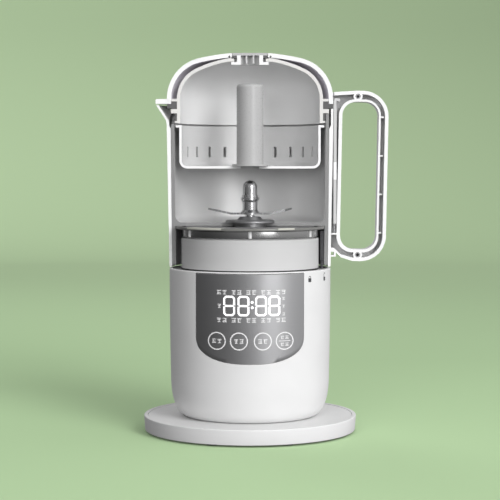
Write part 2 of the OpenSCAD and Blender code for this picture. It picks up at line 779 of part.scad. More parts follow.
module handle_body() difference() {
    intersection() {
        union() {
            difference() {
                upright(-handle_half, handle_half) handle_outline(0);
                upright(-handle_half + 2.2, handle_half - 2.2) difference() {
                    handle_outline(handle_wall);
                    grip_outline(handle_wall, 1.7, 2.6);
                }
            }
            for (p = boss_places) upright(-handle_half + 1, handle_half - 1) translate(p) circle(boss_r);
            for (i = [0:3]) upright(-handle_half + 1, handle_half - 1)
                box2(grip_right + 1, grip_top - 13.6 - 33 * i, grip_right + 4.3, grip_top - 12.3 - 33 * i);
        }
        translate([0, 0, -1]) linear_extrude(2 * reach)
            round_box2(-reach, -handle_half, handle_right, handle_half, edge_round);
        rotate([90, 0, 90]) linear_extrude(reach)
            round_box2(-handle_half, handle_bottom, handle_half, handle_top, edge_round);
    }
    upright(-handle_half - 1, handle_half + 1) grip_outline(0, 0, 0);
    for (p = boss_places) upright(-11, 11) translate(p) circle(insert_r + seat);
}

// Handle with a hook into the skirt at its foot, and a shelf under the rod's spring
module handle_shell() color("white") keep_back() difference() {
    union() {
        leaned() handle_body();
        upright(-8, 8) difference() {
            box2(rim_r - 8, hook_z, rim_r + 2.4, hook_z + 5.9);
            box2(rim_r - 8, hook_z + 1.3, rim_r + 0.9, hook_z + 4.2);
        }
        upright(-5, 5) box2(rim_r - 4, rod_bottom - 9.4, grip_left - 2, rod_bottom - 8);
    }
    whole() polygon([
        [0, 0], [jug_foot_r + 0.1, 0], [jug_foot_r + 0.1, skirt_bottom], [rim_r + 0.1, taper_top],
        [rim_r + 0.1, jug_rim + gap], [rim_r + 0.7, jug_rim + gap], [rim_r + 0.7, 2 * reach], [0, 2 * reach]
    ]);
}

module handle_inserts() color("goldenrod") keep_back()
    leaned() for (p = boss_places) upright(-10, 10) translate(p) difference() {
        circle(insert_r);
        circle(1.2);
    }

// Close-wound return spring: its turns touch, so it is a corrugated tube
module rod_spring() color("silver") translate([rod_left + 0.9, 2.2, 0]) whole()
    for (turn = [0:spring_turns - 1]) translate([1.1, rod_bottom - 7.5 + 0.75 * turn]) circle(0.42);

// Push rod beside the jug's wall; its head stands at the lid's edge
module interlock_rod() color("whitesmoke") keep_back() {
    upright(-4.5, 4.5) box2(rod_left, rod_bottom, rod_left + rod_t, flange_bottom - 3.5);
    upright(-2.6, 2.6) box2(rod_left, flange_bottom - 4, rod_left + rod_t - 0.4, flange_bottom + 3);
    upright(-6, 6) box2(rod_left + 0.5, flange_bottom + 2.2, rod_left + 5.3, flange_bottom + 4.8);
}

module interlock_foot() color([0.3, 0.3, 0.3]) keep_back()
    upright(-4, 4) box2(ring_r + 1.9, skirt_bottom + 5, skirt_in_r - 0.35, pot_floor - 7.4);

tray_shell();
tray_top_disc();
tray_bottom_cover();
tray_feet();
base_screws();
base_housing();
base_bowl();
base_bottom_cover();
base_deck();
deck_dish();
control_panel();
display_module();
control_board();
touch_springs();
motor_can();
stator();
motor_bearings();
motor_bracket();
motor_dampers();
power_board();
power_inlet();
inlet_pins();
jug_socket();
interlock_switch();
motor_shaft();
rotor_core();
cooling_fan();
drive_coupler();
lock_ring();
jug_shell();
inner_pot();
pot_base_ring();
heater_plate();
heating_element();
thermostats();
jug_bottom_cover();
jug_plug();
jug_screws();
bearing_housing();
blade_bearings();
shaft_seal();
handle_shell();
handle_inserts();
rod_spring();
interlock_rod();
interlock_foot();
blade_shaft();
lower_blade();
upper_blade();
blade_spacer();
blade_nut();
driven_coupler();
lid_outer();
lid_inner();
lid_gasket();
rim_seal();
vent_cap();
cap_seal();
steam_basket();
basket_stem();
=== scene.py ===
"""Baby food maker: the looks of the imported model, in its own frame (metres, +Z up, panel towards -Y).

Lengths in this script are millimetres until they go into a mesh or an object; MM turns them into metres.
"""

import math

import bmesh
import bpy
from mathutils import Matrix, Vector


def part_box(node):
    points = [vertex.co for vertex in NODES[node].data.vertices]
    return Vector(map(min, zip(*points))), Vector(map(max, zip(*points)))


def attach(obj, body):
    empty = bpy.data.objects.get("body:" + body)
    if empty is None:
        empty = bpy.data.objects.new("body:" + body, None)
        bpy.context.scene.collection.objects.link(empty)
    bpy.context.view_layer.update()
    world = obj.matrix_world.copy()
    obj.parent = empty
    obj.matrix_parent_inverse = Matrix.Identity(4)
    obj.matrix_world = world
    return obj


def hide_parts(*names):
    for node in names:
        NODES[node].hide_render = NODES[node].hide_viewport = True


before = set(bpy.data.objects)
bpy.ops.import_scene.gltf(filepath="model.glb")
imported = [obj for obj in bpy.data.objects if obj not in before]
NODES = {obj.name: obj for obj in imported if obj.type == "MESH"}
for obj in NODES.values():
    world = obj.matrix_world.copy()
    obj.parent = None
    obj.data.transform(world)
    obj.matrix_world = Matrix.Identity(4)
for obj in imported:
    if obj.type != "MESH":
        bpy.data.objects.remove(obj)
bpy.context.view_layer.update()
MM = 0.001


def low(node):
    """Lowest corner of a CAD node, in millimetres."""
    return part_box(node)[0] / MM


def high(node):
    """Highest corner of a CAD node, in millimetres."""
    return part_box(node)[1] / MM


# Sizes taken from the frame
tray_r = high("tray_shell").x
tray_top = high("tray_shell").z
foot_top = low("tray_shell").z
disc_r = high("tray_top_disc").x
disc_low = low("tray_top_disc").z
base_r = high("base_housing").x
base_bottom = low("base_bowl").z
base_top = high("base_housing").z
ring_low, ring_high = low("lock_ring").z, high("lock_ring").z
band_low, band_high = low("pot_base_ring").z, high("pot_base_ring").z
band_r = high("pot_base_ring").x
rib_proud = 1.1  # how far the ribs stand out of the lock ring
ring_r = -low("lock_ring").y - rib_proud
rim_r = high("jug_shell").x
spout_out = -low("lid_outer").x
flange_z = low("lid_outer").z
lid_r = high("lid_outer").x
top_z = high("lid_outer").z
panel_w = high("control_panel").x
panel_low = low("control_panel").z
rib_count = 6


# ---- Materials ----

NOISE_RANGE = (0.3, 0.7)  # where most values of a noise texture lie
PLANE_TOLERANCE = 0.05  # how far from the section plane a face may lie and still be a cut
INWARD_LIMIT = -0.0001  # a face looks inwards when its normal times its place is below this
ROUGHNESS_SWING = 0.05
BUMP_STRENGTH = 0.25
BROAD_SCALE, BROAD_DETAIL = 35, 2


def new_material(name):
    """An empty node material: its nodes, a link function and its surface shader."""
    material = bpy.data.materials.new(name)
    material.use_nodes = True
    nodes = material.node_tree.nodes
    nodes.clear()
    output = nodes.new("ShaderNodeOutputMaterial")
    shader = nodes.new("ShaderNodeBsdfPrincipled")
    link = material.node_tree.links.new
    link(shader.outputs["BSDF"], output.inputs["Surface"])
    return material, nodes, link, shader


def noise(nodes, link, coords, scale, detail=3.0, stretch=None):
    """A noise texture over the object's own coordinates, stretched along an axis if asked."""
    if stretch:
        mapping = nodes.new("ShaderNodeMapping")
        mapping.inputs["Scale"].default_value = stretch
        link(coords, mapping.inputs["Vector"])
        coords = mapping.outputs["Vector"]
    texture = nodes.new("ShaderNodeTexNoise")
    texture.inputs["Scale"].default_value = scale
    texture.inputs["Detail"].default_value = detail
    link(coords, texture.inputs["Vector"])
    return texture.outputs["Fac"]


def map_range(nodes, link, value, start, end):
    """A value mapped from the range start to the range end, and held within it."""
    node = nodes.new("ShaderNodeMapRange")
    node.inputs["From Min"].default_value, node.inputs["From Max"].default_value = start
    node.inputs["To Min"].default_value, node.inputs["To Max"].default_value = end
    link(value, node.inputs["Value"])
    return node.outputs["Result"]


def axes(nodes, link, vector):
    """The X, Y and Z outputs of a vector."""
    split = nodes.new("ShaderNodeSeparateXYZ")
    link(vector, split.inputs[0])
    return split.outputs


def mix(nodes, link, factor, first, second):
    """A colour between first and second; each is a colour or a socket."""
    node = nodes.new("ShaderNodeMix")
    node.data_type = "RGBA"
    link(factor, node.inputs["Factor"])
    for socket, value in (("A", first), ("B", second)):
        target = [i for i in node.inputs if i.name == socket and i.type == "RGBA"][0]
        if isinstance(value, (tuple, list)):
            target.default_value = (*value, 1)
        else:
            link(value, target)
    return [o for o in node.outputs if o.type == "RGBA"][0]


def math_node(nodes, link, operation, first, second=None):
    """The result of a maths node; first and second are numbers or sockets."""
    node = nodes.new("ShaderNodeMath")
    node.operation = operation
    for i, value in enumerate((first, second)):
        if value is None:
            continue
        if isinstance(value, (int, float)):
            node.inputs[i].default_value = value
        else:
            link(value, node.inputs[i])
    return node.outputs[0]


def shade(color, factor):
    """A colour made lighter or darker."""
    return tuple(min(1.0, c * factor) for c in color)


def surface(name, color, roughness=0.4, metallic=0.0, grain=900, depth=0.02, vary=0.04, stretch=None,
            cut=None, inside=None, band=None):
    """A material with fine grain. cut colours the faces on the section plane: a painted highlight when lighter
    than the material, painted shade when darker.
    inside paints shade on the faces that look towards the body's axis, and band, a colour with two heights,
    colours what lies between the heights."""
    material, nodes, link, shader = new_material(name)
    coords = nodes.new("ShaderNodeTexCoord")
    position = coords.outputs["Object"]
    broad = noise(nodes, link, position, BROAD_SCALE, BROAD_DETAIL)
    fine = noise(nodes, link, position, grain, 3, stretch)
    tint = mix(nodes, link, broad, shade(color, 1 - vary), shade(color, 1 + vary))
    if inside or cut or band:
        across = axes(nodes, link, position)
    if inside:
        flat = nodes.new("ShaderNodeCombineXYZ")
        link(across["X"], flat.inputs["X"])
        link(across["Y"], flat.inputs["Y"])
        dot = nodes.new("ShaderNodeVectorMath")
        dot.operation = "DOT_PRODUCT"
        link(flat.outputs[0], dot.inputs[0])
        link(coords.outputs["Normal"], dot.inputs[1])
        # Painted shade: faces that look towards the axis take the darker inside colour.
        painted_shade_mask = math_node(nodes, link, "LESS_THAN", dot.outputs["Value"], INWARD_LIMIT)
        tint = mix(nodes, link, painted_shade_mask, tint, inside)
    # Faces on the section plane take the cut colour: a painted highlight where it is lighter than the material,
    # painted shade where it is darker.
    if cut:
        off_plane = math_node(nodes, link, "ABSOLUTE", across["Y"])
        on_plane = math_node(nodes, link, "LESS_THAN", off_plane, PLANE_TOLERANCE * MM)
        tint = mix(nodes, link, on_plane, tint, cut)
    if band:
        band_color, lowest, highest = band
        above = math_node(nodes, link, "GREATER_THAN", across["Z"], lowest * MM)
        below = math_node(nodes, link, "LESS_THAN", across["Z"], highest * MM)
        tint = mix(nodes, link, math_node(nodes, link, "MULTIPLY", above, below), tint, band_color)
    link(tint, shader.inputs["Base Color"])
    link(map_range(nodes, link, fine, NOISE_RANGE, (roughness - ROUGHNESS_SWING, roughness + ROUGHNESS_SWING)),
         shader.inputs["Roughness"])
    shader.inputs["Metallic"].default_value = metallic
    bump = nodes.new("ShaderNodeBump")
    bump.inputs["Strength"].default_value = BUMP_STRENGTH
    bump.inputs["Distance"].default_value = depth * MM
    link(fine, bump.inputs["Height"])
    link(bump.outputs["Normal"], shader.inputs["Normal"])
    return material


def glow(name, color, strength):
    """A pale surface that gives a little light of its own, uneven as print is: lit on the display's digits,
    painted light on printed signs.
    """
    material, nodes, link, shader = new_material(name)
    coords = nodes.new("ShaderNodeTexCoord")
    patchy = noise(nodes, link, coords.outputs["Object"], 1200, 2)
    link(mix(nodes, link, patchy, shade(color, 0.92), shade(color, 1.05)), shader.inputs["Base Color"])
    link(mix(nodes, link, patchy, shade(color, 0.94), shade(color, 1.0)), shader.inputs["Emission Color"])
    shader.inputs["Emission Strength"].default_value = strength
    shader.inputs["Roughness"].default_value = 0.4
    return material


WHITE = (0.78, 0.78, 0.78)
# Painted highlight: the cut faces' white, lighter than the same plastic elsewhere, as if the cut faces caught more
# light.
CUT_HIGHLIGHT_WHITE = (0.94, 0.94, 0.94)

finish = {
    "white": surface("white_plastic", WHITE, 0.38),
    # Painted highlight: the lighter white for the lid's cut faces.
    "cut": surface("cut_plastic_highlight", CUT_HIGHLIGHT_WHITE, 0.5),
    # Painted light: the outer dome's inward faces are lighter than its white outside and tinted lilac, to lift the
    # dim gap between the domes.
    "hollow": surface("hollow_painted_fill_light", (0.90, 0.88, 0.92), 0.5),
    # The jug's inside colour is painted shade on its inward faces, and its cut white is a painted highlight.
    "jug": surface("jug_plastic", WHITE, 0.38, cut=CUT_HIGHLIGHT_WHITE, inside=(0.52, 0.52, 0.51)),
    "handle": surface("handle_plastic", WHITE, 0.38, cut=CUT_HIGHLIGHT_WHITE),
    "cap": surface("cap_plastic", (0.6, 0.6, 0.6), 0.42, cut=CUT_HIGHLIGHT_WHITE,
                   band=((0.5, 0.5, 0.5), top_z - 1.9, top_z + 1)),
    "rod": surface("rod_plastic", (0.62, 0.62, 0.62), 0.42,
                   band=(CUT_HIGHLIGHT_WHITE, base_top + 75.4, base_top + 90.3)),
    "light": surface("light_plastic", (0.62, 0.62, 0.62), 0.45),
    "rubber": surface("rubber", (0.10, 0.10, 0.10), 0.7, grain=1500, depth=0.04),
    "seal": surface("seal_rubber", (0.12, 0.12, 0.12), 0.6, grain=1500, depth=0.04),
    "steel": surface("bright_steel", (0.62, 0.62, 0.63), 0.24, 1.0, grain=1600, stretch=(1, 1, 0.05)),
    "drum": surface("drum_plastic", (0.57, 0.57, 0.57), 0.42),
    "panel": surface("panel_metal", (0.52, 0.52, 0.53), 0.44, 1.0, grain=2400, depth=0.0015, vary=0.01,
                     stretch=(0.03, 0.03, 1)),
    "dark": surface("dark_plastic", (0.05, 0.05, 0.055), 0.5),
    "gap": surface("gap_shadow", (0.03, 0.03, 0.03), 0.7),
    "sign": surface("sign_print", (0.06, 0.06, 0.065), 0.5),
    "board": surface("circuit_board", (0.02, 0.11, 0.05), 0.5),
    "brass": surface("brass", (0.72, 0.52, 0.22), 0.3, 1.0),
    "copper": surface("copper_winding", (0.62, 0.30, 0.16), 0.35, 1.0, grain=2500, depth=0.2,
                      stretch=(1, 1, 0.2)),
    "motor": surface("galvanised_steel", (0.5, 0.5, 0.51), 0.42, 1.0, grain=500),
    "insert": surface("insert_metal", (0.42, 0.42, 0.43), 0.5, 0.6),
    "fan": surface("fan_plastic", (0.72, 0.70, 0.62), 0.5),
    "nylon": surface("dark_nylon", (0.09, 0.09, 0.09), 0.55),
    "chrome": surface("polished_ring", (0.36, 0.36, 0.36), 0.22, 1.0, grain=2000, depth=0.001,
                      vary=0.01, stretch=(0.05, 0.05, 1)),
    "band": surface("band_metal", (0.22, 0.22, 0.21), 0.40, 0.3, grain=2000, depth=0.002,
                    stretch=(0.05, 0.05, 1)),
    "tab": surface("tab_plastic", (0.56, 0.56, 0.50), 0.5),
    # Painted shade: the pot's cut faces are dark grey, darker than its steel, standing in for the shaded band
    # along the pot's wall.
    "pot": surface("pot_steel", (0.70, 0.70, 0.70), 0.42, 0.3, grain=1600, depth=0.004, stretch=(0.05, 0.05, 1),
                   cut=(0.30, 0.30, 0.30)),
    "heater": surface("cast_aluminium", (0.45, 0.45, 0.46), 0.5, 1.0, grain=700, depth=0.06),
    "element": surface("element_steel", (0.28, 0.28, 0.29), 0.4, 1.0),
    # The inner dome is one plastic in lit copies. Its outside and inside are lighter than its cut faces, as
    # painted light in the lid's dim hollows, and the outside is tinted lilac like the gap between the domes.
    "liner_out": surface("liner_outside_painted_light", (0.88, 0.86, 0.90), 0.45),
    "liner_cut": surface("liner_cut", (0.76, 0.75, 0.73), 0.5),
    "liner_in": surface("liner_inside_painted_light", (0.80, 0.80, 0.80), 0.42),
    # The basket's grey plastic gets the lighter white on its cut faces: a painted highlight.
    "basket": surface("basket_plastic", (0.66, 0.66, 0.66), 0.38, cut=CUT_HIGHLIGHT_WHITE),
    "stem": surface("stem_plastic", (0.45, 0.45, 0.45), 0.3),
    "lit": glow("lit_segment", (1.0, 1.0, 1.0), 0.6),
    # Painted light: printed signs and key rings glow faintly though they are only print.
    "printed": glow("print_with_painted_glow", (0.78, 0.78, 0.78), 0.15),
}
USES = {
    "white": "tray_top_disc",
    "jug": "jug_shell",
    "cap": "vent_cap",
    "rod": "interlock_rod",
    "handle": "handle_shell",
    "light": "tray_bottom_cover base_bottom_cover",
    "rubber": "tray_feet motor_dampers shaft_seal",
    "seal": "lid_gasket rim_seal cap_seal",
    "steel": "base_screws jug_screws motor_shaft blade_shaft lower_blade upper_blade blade_nut blade_spacer "
             "motor_bearings blade_bearings inlet_pins rod_spring",
    "drum": "base_deck deck_dish",
    "dark": "display_module interlock_switch thermostats power_inlet jug_bottom_cover interlock_foot jug_socket",
    "board": "control_board power_board",
    "brass": "touch_springs jug_plug",
    "insert": "handle_inserts",
    "copper": "stator",
    "motor": "motor_can motor_bracket rotor_core",
    "fan": "cooling_fan",
    "nylon": "drive_coupler driven_coupler",
    "pot": "inner_pot",
    "heater": "heater_plate bearing_housing",
    "element": "heating_element",
    "basket": "steam_basket",
    "stem": "basket_stem",
}
for key, names in USES.items():
    for name in names.split():
        slots = NODES[name].material_slots
        for i in range(len(slots)):
            slots[i].material = finish[key]


# ---- Mesh helpers ----

def soften(corners, radius, steps=4):
    """A closed outline with its corners rounded; a corner can name its own radius as a third number."""
    out = []
    for i, corner in enumerate(corners):
        here = Vector(corner[:2])
        own = corner[2] if len(corner) > 2 else radius
        back = Vector(corners[i - 1][:2]) - here
        ahead = Vector(corners[(i + 1) % len(corners)][:2]) - here
        if own <= 0 or back.angle(ahead) > math.radians(172):
            out.append(tuple(here))
            continue
        cut = min(own / math.tan(back.angle(ahead) / 2), 0.45 * back.length, 0.45 * ahead.length)
        start, end = here + back.normalized() * cut, here + ahead.normalized() * cut
        for k in range(steps + 1):
            t = k / steps
            out.append(tuple(start * (1 - t) ** 2 + here * 2 * t * (1 - t) + end * t * t))
    return out


def arc(cx, cz, radius, first, last, steps):
    """Points of an arc about (cx, cz), from one angle to another in degrees."""
    angles = [math.radians(first + (last - first) * i / steps) for i in range(steps + 1)]
    return [(cx + radius * math.cos(a), cz + radius * math.sin(a)) for a in angles]


def rectangle(left, bottom, right, top):
    """A closed outline of four corners."""
    return [(left, bottom), (right, bottom), (right, top), (left, top)]


def bridge(bm, loops, ends=False):
    """Quads between each closed loop of vertices and the next, with faces over both ends if asked."""
    for a, b in zip(loops, loops[1:]):
        for k in range(len(a)):
            m = (k + 1) % len(a)
            bm.faces.new((a[k], a[m], b[m], b[k]))
    if ends:
        bm.faces.new(loops[0])
        bm.faces.new(loops[-1])


def lathe(profile, start=0.0, sweep=360.0, steps=180):
    """A solid of revolution of a closed outline in (radius, height), capped at both ends if it isn't whole."""
    bm = bmesh.new()
    count = max(3, round(steps * sweep / 360))
    whole = sweep >= 360
    rings = []
    for i in range(count if whole else count + 1):
        a = math.radians(start + sweep * i / count)
        rings.append([bm.verts.new((r * MM * math.cos(a), r * MM * math.sin(a), z * MM)) for r, z in profile])
    if whole:
        rings.append(rings[0])
    bridge(bm, rings, ends=not whole)
    return bm


def place(bm, name, body, materials, replaces=(), sharp=30):
    """The mesh made into a smooth-shaded piece on a body. With three materials, the second goes on the faces in
    the section plane and the third on the faces that look towards the body's axis."""
    bmesh.ops.recalc_face_normals(bm, faces=bm.faces)
    mesh = bpy.data.meshes.new(name)
    bm.to_mesh(mesh)
    bm.free()
    for material in materials:
        mesh.materials.append(material)
    if len(materials) > 1:
        for face in mesh.polygons:
            if max(abs(mesh.vertices[v].co.y) for v in face.vertices) < 1e-6:
                face.material_index = 1
            elif len(materials) > 2 and face.normal.dot(face.center * Vector((1, 1, 0))) < 0:
                face.material_index = 2
    mesh.shade_smooth()
    mesh.set_sharp_from_angle(angle=math.radians(sharp))
    piece = bpy.data.objects.new(name, mesh)
    bpy.context.scene.collection.objects.link(piece)
    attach(piece, body)
    if replaces:
        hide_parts(*replaces)
    return piece


def cut_away(piece, cutter_bm):
    """Takes a solid out of a piece's mesh."""
    mesh = bpy.data.meshes.new("cutter")
    bmesh.ops.recalc_face_normals(cutter_bm, faces=cutter_bm.faces)
    cutter_bm.to_mesh(mesh)
    cutter_bm.free()
    cutter = bpy.data.objects.new("cutter", mesh)
    bpy.context.scene.collection.objects.link(cutter)
    modifier = piece.modifiers.new("cut", "BOOLEAN")
    modifier.operation = "DIFFERENCE"
    modifier.solver = "EXACT"
    modifier.object = cutter
    bpy.context.view_layer.update()
    result = bpy.data.meshes.new_from_object(piece.evaluated_get(bpy.context.evaluated_depsgraph_get()))
    result.name = piece.name
    piece.modifiers.clear()
    piece.data = result
    bpy.data.objects.remove(cutter)


rim_h = 2  # straight part at the top of the base
taper_h = 90.4  # height over which the base gets 1 mm narrower
taper_power = 1.9


def base_radius(z):
    """Radius of the base's outside above its lower corner."""
    return base_r - max(0.0, (base_top - rim_h - z) / taper_h) ** taper_power


def on_base(x, z, lift, turn=None):
    """A point on the base's front: x straight across, or along the surface from an angle beside the front."""
    radius = base_radius(z) + lift
    if turn is None:
        return Vector((x, -math.sqrt(radius * radius - x * x), z)) * MM
    a = math.radians(turn) + x / base_r
    return Vector((radius * math.sin(a), -radius * math.cos(a), z)) * MM


print_half_w = 45  # how far a print reaches to each side, and the width of the strips that bend round the base
print_step = 2


def print_on_base(shapes, name, material, lift, depth=0.25, turn=None):
    """Flat shapes, as lists of (x, z) points, laid round the base as thin solids."""
    bm = bmesh.new()
    for shape in shapes:
        bm.faces.new([bm.verts.new((x, 0, z)) for x, z in shape])
    bmesh.ops.remove_doubles(bm, verts=bm.verts, dist=1e-4)
    for x in range(-print_half_w, print_half_w + 1, print_step):
        bmesh.ops.bisect_plane(bm, geom=bm.verts[:] + bm.edges[:] + bm.faces[:], plane_co=(x, 0, 0),
                               plane_no=(1, 0, 0))
    raised = bmesh.ops.extrude_face_region(bm, geom=bm.faces[:], use_keep_orig=True)
    top = {v for v in raised["geom"] if isinstance(v, bmesh.types.BMVert)}
    for v in bm.verts:
        v.co = on_base(v.co.x, v.co.z, lift if v in top else lift - depth, turn)
    return place(bm, name, "base", [material])


# ---- Stand plate and base ----

plate_wall = 3.4
plate_lean = 0.8  # the rim is this much narrower at its foot
plate_corner = 0.9
disc_gap = 0.3
ledge_w = 3.5  # the ledge that carries the top disc, just under it
ledge_gap = 0.05
ledge_t = 2


def build_plate():
    """The stand plate's rim, with the ledge under its top disc."""
    profile = soften([
        (tray_r - plate_wall, foot_top), (tray_r - plate_lean, foot_top, plate_corner),
        (tray_r, tray_top, plate_corner), (disc_r + disc_gap, tray_top),
        (disc_r + disc_gap, disc_low - ledge_gap), (disc_r - ledge_w, disc_low - ledge_gap),
        (disc_r - ledge_w, disc_low - ledge_t), (tray_r - plate_wall, disc_low - ledge_t),
    ], 0.2)
    place(lathe(profile), "plate_rim", "base", [finish["white"]], ["tray_shell"])


wall = 2.8
corner_w = 14
corner_h = 33.9
corner_power = 2.2
bottom_hole_r = high("base_bottom_cover").x + 0.3
inlet_gap = 0.2
inlet_corner = 3
inlet_cut = (45, 50)  # where the inlet's cutter starts, and how far it goes back


def base_side(inset):
    """The base's outside or inside from its flat bottom to just under its rim."""
    low_z = base_bottom + corner_h
    points = []
    for i in range(31):
        a = math.radians(90 - 3 * i)
        points.append((base_r - 1 - corner_w + (corner_w - inset) * max(0, math.cos(a)) ** (2 / corner_power),
                       low_z - (corner_h - inset) * math.sin(a) ** (2 / corner_power)))
    rise = base_top - rim_h - low_z
    points += [(base_radius(low_z + rise * i / 12) - inset, low_z + rise * i / 12) for i in range(1, 13)]
    return points


def build_housing():
    """The base's shell in one piece, with the window for the mains inlet."""
    rim = soften([(base_r, base_top - rim_h, 0), (base_r, base_top, 1.1), (base_r - wall, base_top, 0.7),
                  (base_r - wall, base_top - rim_h, 0)], 0)
    outline = [(bottom_hole_r, base_bottom)] + base_side(0) + rim[1:-1]
    outline += list(reversed(base_side(wall))) + [(bottom_hole_r, base_bottom + wall)]
    piece = place(lathe(outline, steps=240), "base_shell", "base", [finish["white"]],
                  ["base_housing", "base_bowl"])
    inlet_low, inlet_high = low("power_inlet"), high("power_inlet")
    window = soften(rectangle(inlet_low.x - inlet_gap, inlet_low.z - inlet_gap,
                              inlet_high.x + inlet_gap, inlet_high.z + inlet_gap), inlet_corner)
    bm = bmesh.new()
    face = bm.faces.new([bm.verts.new((x * MM, inlet_cut[0] * MM, z * MM)) for x, z in window])
    pushed = bmesh.ops.extrude_face_region(bm, geom=[face], use_keep_orig=True)
    bmesh.ops.translate(bm, vec=(0, inlet_cut[1] * MM, 0),
                        verts=[v for v in pushed["geom"] if isinstance(v, bmesh.types.BMVert)])
    cut_away(piece, bm)


panel_flat = 1
panel_corner_h = 22
panel_power = 2.4
panel_top = base_top - 1.5
panel_rows = 20
panel_edges = ((0.0, -0.9), (0.0, 0.02), (0.35, 0.25))  # inset and lift of the back, the edge and the face


def panel_floor(x):
    """Height of the control panel's lower edge at x."""
    share = max(0.0, abs(x) - panel_flat) / (panel_w - panel_flat)
    a = math.acos(min(1.0, share ** (panel_power / 2)))
    return panel_low + panel_corner_h * (1 - math.sin(a) ** (2 / panel_power))


def build_panel():
    """A metal plate bent round the base's front, with a fine bevel along its edge."""
    right = [panel_flat + (panel_w - panel_flat) * math.cos(math.radians(5 * i)) ** (2 / panel_power)
             for i in range(18)]
    right.append(0.0)
    columns = [-x for x in right[:-1]] + list(reversed(right))
    rows = panel_rows
    bm = bmesh.new()
    layers = []
    for shrink, lift in panel_edges:
        grid = []
        for x in columns:
            floor = panel_floor(x) + shrink
            top = panel_top - shrink
            grid.append([(x * (1 - shrink / panel_w), floor + (top - floor) * k / rows, lift)
                         for k in range(rows + 1)])
        layers.append(grid)
    ring = [(i, 0) for i in range(len(columns))] + [(len(columns) - 1, k) for k in range(1, rows + 1)]
    ring += [(i, rows) for i in range(len(columns) - 2, -1, -1)] + [(0, k) for k in range(rows - 1, 0, -1)]
    face_of = []
    for n in (0, 2):
        made = [[bm.verts.new(on_base(*point)) for point in column] for column in layers[n]]
        for i in range(len(columns) - 1):
            for k in range(rows):
                bm.faces.new((made[i][k], made[i + 1][k], made[i + 1][k + 1], made[i][k + 1]))
        face_of.append([made[i][k] for i, k in ring])
    middle = [bm.verts.new(on_base(*layers[1][i][k])) for i, k in ring]
    bridge(bm, [face_of[0], middle, face_of[1]])
    place(bm, "control_plate", "base", [finish["panel"]], ["control_panel"])


def bar(x, z, w, h):
    """An upright rectangle about (x, z)."""
    return rectangle(x - w / 2, z - h / 2, x + w / 2, z + h / 2)


def disc(x, z, radius, steps=24):
    """A round spot about (x, z)."""
    return [(x + radius * math.cos(2 * math.pi * i / steps), z + radius * math.sin(2 * math.pi * i / steps))
            for i in range(steps)]


def ring_shapes(x, z, outer, inner, first=0, last=360, steps=64):
    """Quads that make a flat ring, or a part of one."""
    out = []
    for i in range(steps):
        a, b = (math.radians(first + (last - first) * (i + k) / steps) for k in (0, 1))
        out.append([(x + radius * math.cos(angle), z + radius * math.sin(angle))
                    for radius, angle in ((inner, a), (outer, a), (outer, b), (inner, b))])
    return out


def stroke(path, width):
    """Quads along a path, with mitred corners."""
    points = [Vector(p) for p in path]
    ways = [(b - a).normalized() for a, b in zip(points, points[1:])]
    ways = [ways[0]] + ways + [ways[-1]]
    sides = []
    for point, before, after in zip(points, ways, ways[1:]):
        across = Vector((-before.y - after.y, before.x + after.x)).normalized()
        across *= width / 2 / max(0.5, across.dot(Vector((-after.y, after.x))))
        sides.append((tuple(point - across), tuple(point + across)))
    return [[a[0], b[0], b[1], a[1]] for a, b in zip(sides, sides[1:])]


def digit(x, z, w, h, t):
    """A lit eight whose lower left corner is (x, z): two half loops with clipped corners and a middle bar."""
    left, right = x + t / 2, x + w - t / 2
    foot, mid, head = z + t / 2, z + h / 2, z + h - t / 2
    clip, slip = 1.5, 0.55
    upper = [(left, mid + slip), (left, head - clip), (left + clip, head), (right - clip, head),
             (right, head - clip), (right, mid + slip)]
    lower = [(left, mid - slip), (left, foot + clip), (left + clip, foot), (right - clip, foot),
             (right, foot + clip), (right, mid - slip)]
    half = t / 2
    middle = [(left + 0.2, mid), (left + half + 0.3, mid - half), (right - half - 0.3, mid - half),
              (right - 0.2, mid), (right - half - 0.3, mid + half), (left + half + 0.3, mid + half)]
    return stroke(upper, t) + stroke(lower, t) + [middle]


def glyph(x, z, w, h, kind):
    """A small generic sign: a few strokes in a block w by h about (x, z)."""
    t = 0.17 * h
    shapes = [bar(x, z + h / 2 - t / 2, w, t), bar(x, z - h / 2 + t / 2, w * (0.7 if kind % 2 else 1), t)]
    shapes.append(bar(x + (kind % 3 - 1) * w * 0.25, z, t, h - 2.2 * t))
    shapes.append(bar(x, z + (0.1 if kind % 2 else -0.08) * h, w * 0.8, t * 0.8))
    return shapes


digit_z = base_top - 35.7
digit_h = 16.7
digit_w = 9.7
digit_x = [-21.9, -10.2, 4.2, 15.1]
label_x = [-23.1, -11.0, 1.0, 13.1, 25.3]
label_z = [base_top - 16.2, base_top - 39.1]
key_x = [-27.3, -9.1, 10.5, 28.5]
key_z = base_top - 56.5
key_r = 7.4
key_line = 0.9
digit_t = 1.55
colon_x, colon_r = 1.8, 1.15
colon_z = [digit_z + 7.0, digit_z + 11.4]
side_x = 27.6
side_z = [digit_z + 14.2, digit_z + 7.9, digit_z + 1.4]
label_half, key_half, last_half = 2.3, 2.2, 1.9  # half the distance between the two signs of a pair
last_row = 2.9  # height of the last key's two rows above and below its line
print_lift = {"digits": 0.33, "signs": 0.31, "keys": 0.32, "gap": 0.05, "locks": 0.04}  # height over the base


